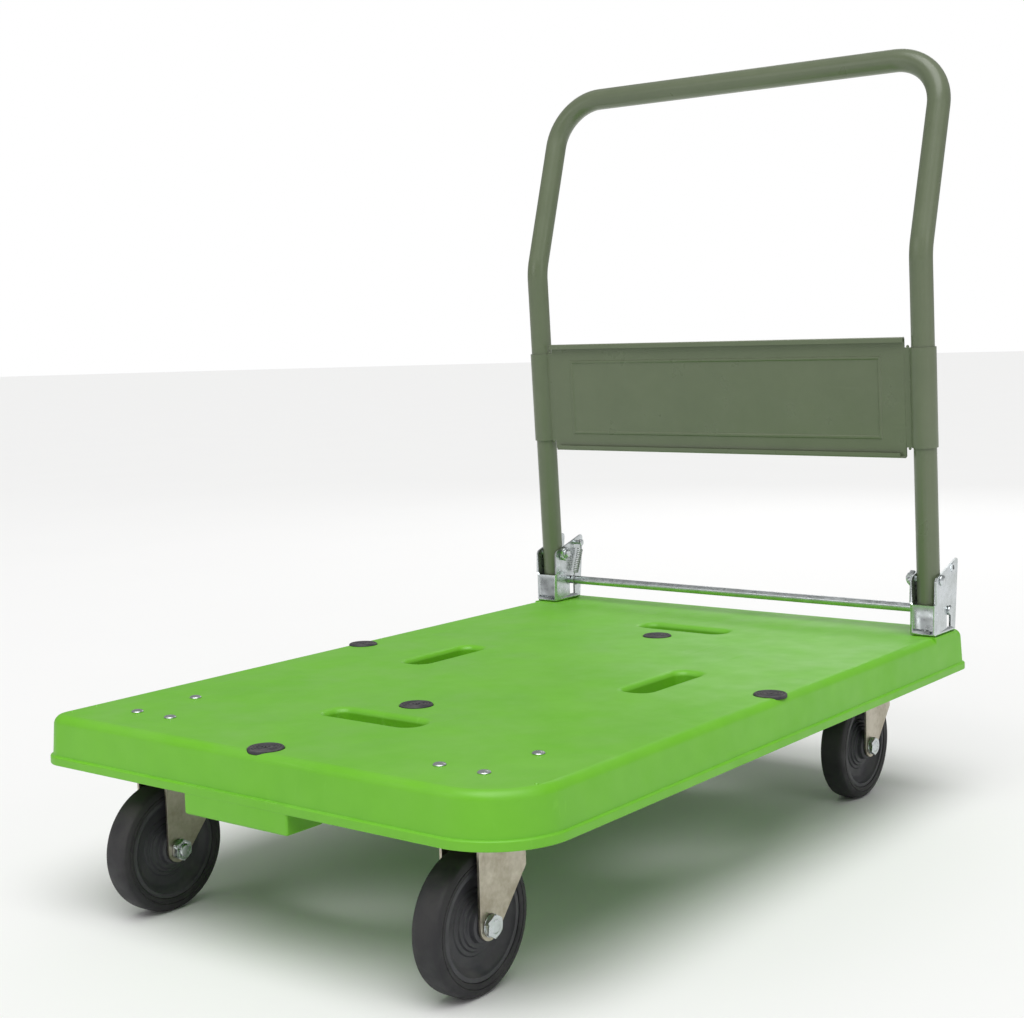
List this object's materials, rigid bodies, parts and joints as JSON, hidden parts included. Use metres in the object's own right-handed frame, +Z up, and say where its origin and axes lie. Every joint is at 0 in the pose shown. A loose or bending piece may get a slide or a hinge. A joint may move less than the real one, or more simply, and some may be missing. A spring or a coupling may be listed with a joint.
{
  "type": "folding platform cart",
  "caption": "Flat moulded deck on four casters with a tubular push handle that folds forward over the deck, released by a sprung foot bar.",
  "frame": {"origin": "middle of the deck's outline, on the floor that the wheels stand on", "axes": "X across the deck with +X on the right seen from the front, Y along it with the handle at +Y, Z up"},
  "size_m": [0.6, 0.915, 0.8965],
  "materials": {
    "green_plastic": "moulded lime-green polypropylene, fine satin skin",
    "pad_rubber": "dark grey soft rubber, moulded ribs",
    "olive_paint": "olive grey-green enamel, semi-gloss",
    "black_plug": "black moulded plug",
    "bright_zinc": "bright zinc plate",
    "spring_steel": "bare spring and bearing steel",
    "caster_zinc": "warm-toned zinc plate, dull",
    "tyre_rubber": "black rubber tread",
    "core_nylon": "dark grey moulded core"
  },
  "bodies": {
    "chassis": {"deck": "green_plastic", "anti_slip_pad_front": "pad_rubber", "anti_slip_pad_middle_front": "pad_rubber", "anti_slip_pad_middle_rear": "pad_rubber", "anti_slip_pad_left": "pad_rubber", "anti_slip_pad_right": "pad_rubber", "front_left_top_plate": "caster_zinc", "front_left_fixed_fork": "caster_zinc", "front_left_axle_bush": "spring_steel", "front_left_axle_bolt": "bright_zinc", "front_left_axle_nut": "bright_zinc", "rear_left_top_plate": "caster_zinc", "rear_left_bearing_cup": "caster_zinc", "rear_left_kingpin": "spring_steel", "handle_bracket_left": "bright_zinc", "pivot_bolt_left": "bright_zinc", "pivot_nut_left": "bright_zinc", "spring_post_left": "bright_zinc", "return_spring_left": "spring_steel", "bracket_bolt_left_front": "bright_zinc", "bracket_bolt_left_rear": "bright_zinc", "front_right_top_plate": "caster_zinc", "front_right_fixed_fork": "caster_zinc", "front_right_axle_bush": "spring_steel", "front_right_axle_bolt": "bright_zinc", "front_right_axle_nut": "bright_zinc", "rear_right_top_plate": "caster_zinc", "rear_right_bearing_cup": "caster_zinc", "rear_right_kingpin": "spring_steel", "handle_bracket_right": "bright_zinc", "pivot_bolt_right": "bright_zinc", "pivot_nut_right": "bright_zinc", "spring_post_right": "bright_zinc", "return_spring_right": "spring_steel", "bracket_bolt_right_front": "bright_zinc", "bracket_bolt_right_rear": "bright_zinc"},
    "handle": {"handle_tube": "olive_paint", "handle_panel": "olive_paint", "tube_plug_left": "black_plug", "tube_plug_right": "black_plug"},
    "foot_bar": {"foot_bar": "bright_zinc"},
    "rear_left_swivel": {"rear_left_swivel_fork": "caster_zinc", "rear_left_ball_race": "spring_steel", "rear_left_axle_bush": "spring_steel", "rear_left_axle_bolt": "bright_zinc", "rear_left_axle_nut": "bright_zinc"},
    "rear_right_swivel": {"rear_right_swivel_fork": "caster_zinc", "rear_right_ball_race": "spring_steel", "rear_right_axle_bush": "spring_steel", "rear_right_axle_bolt": "bright_zinc", "rear_right_axle_nut": "bright_zinc"},
    "front_left_wheel": {"front_left_tyre": "tyre_rubber", "front_left_wheel_core": "core_nylon"},
    "front_right_wheel": {"front_right_tyre": "tyre_rubber", "front_right_wheel_core": "core_nylon"},
    "rear_left_wheel": {"rear_left_tyre": "tyre_rubber", "rear_left_wheel_core": "core_nylon"},
    "rear_right_wheel": {"rear_right_tyre": "tyre_rubber", "rear_right_wheel_core": "core_nylon"}
  },
  "joints": [
    {"name": "handle_fold", "type": "hinge", "parent": "chassis", "child": "handle", "pos_m": [0, 0.391, 0.2663], "axis": [1, 0, 0], "range_deg": [0, 94]},
    {"name": "foot_bar_press", "type": "slide", "parent": "chassis", "child": "foot_bar", "axis": [0, 0, -1], "range_m": [0, 0.014], "stiffness_N_per_m": 1200, "springref_m": -0.012, "deforming": ["return_spring_left", "return_spring_right"]},
    {"name": "rear_left_swivel_turn", "type": "hinge", "parent": "chassis", "child": "rear_left_swivel", "pos_m": [-0.198, 0.386, 0.14], "axis": [0, 0, 1], "continuous": true},
    {"name": "rear_right_swivel_turn", "type": "hinge", "parent": "chassis", "child": "rear_right_swivel", "pos_m": [0.198, 0.386, 0.14], "axis": [0, 0, 1], "continuous": true},
    {"name": "front_left_wheel_roll", "type": "hinge", "parent": "chassis", "child": "front_left_wheel", "pos_m": [-0.198, -0.388, 0.065], "axis": [1, 0, 0], "continuous": true},
    {"name": "front_right_wheel_roll", "type": "hinge", "parent": "chassis", "child": "front_right_wheel", "pos_m": [0.198, -0.388, 0.065], "axis": [1, 0, 0], "continuous": true},
    {"name": "rear_left_wheel_roll", "type": "hinge", "parent": "rear_left_swivel", "child": "rear_left_wheel", "pos_m": [-0.198, 0.354, 0.065], "axis": [1, 0, 0], "continuous": true},
    {"name": "rear_right_wheel_roll", "type": "hinge", "parent": "rear_right_swivel", "child": "rear_right_wheel", "pos_m": [0.198, 0.354, 0.065], "axis": [1, 0, 0], "continuous": true}
  ]
}
